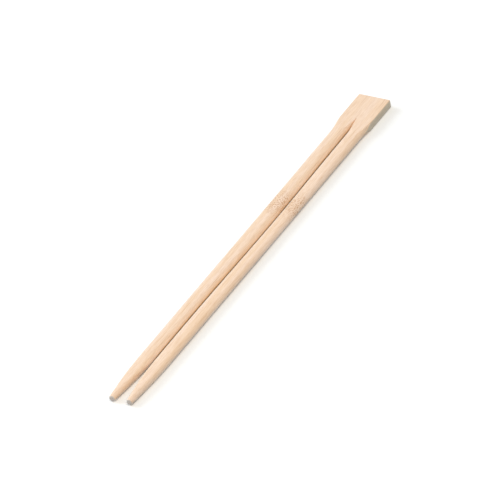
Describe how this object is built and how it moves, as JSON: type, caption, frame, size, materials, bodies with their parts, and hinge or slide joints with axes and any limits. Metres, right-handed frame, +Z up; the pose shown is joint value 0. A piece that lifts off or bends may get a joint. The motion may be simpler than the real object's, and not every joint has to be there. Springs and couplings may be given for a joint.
{
  "type": "joined bamboo chopsticks",
  "caption": "Flat bamboo strip milled into a joined pair of round-sided eating sticks, with a flat head to snap apart, a pointed groove and blunt tapered tips.",
  "frame": {"origin": "under the middle of the pair as it lies flat: centre of the bottom of its box", "axes": "+X along the sticks towards the joined head, +Y across the pair, +Z up through the thickness"},
  "size_m": [0.24, 0.0162, 0.004],
  "materials": {
    "bamboo": "milled and tumbled bare bamboo, pale, with fine lengthwise fibres and a soft sheen"
  },
  "bodies": {
    "root": {"chopstick_pair": "bamboo"}
  },
  "joints": []
}
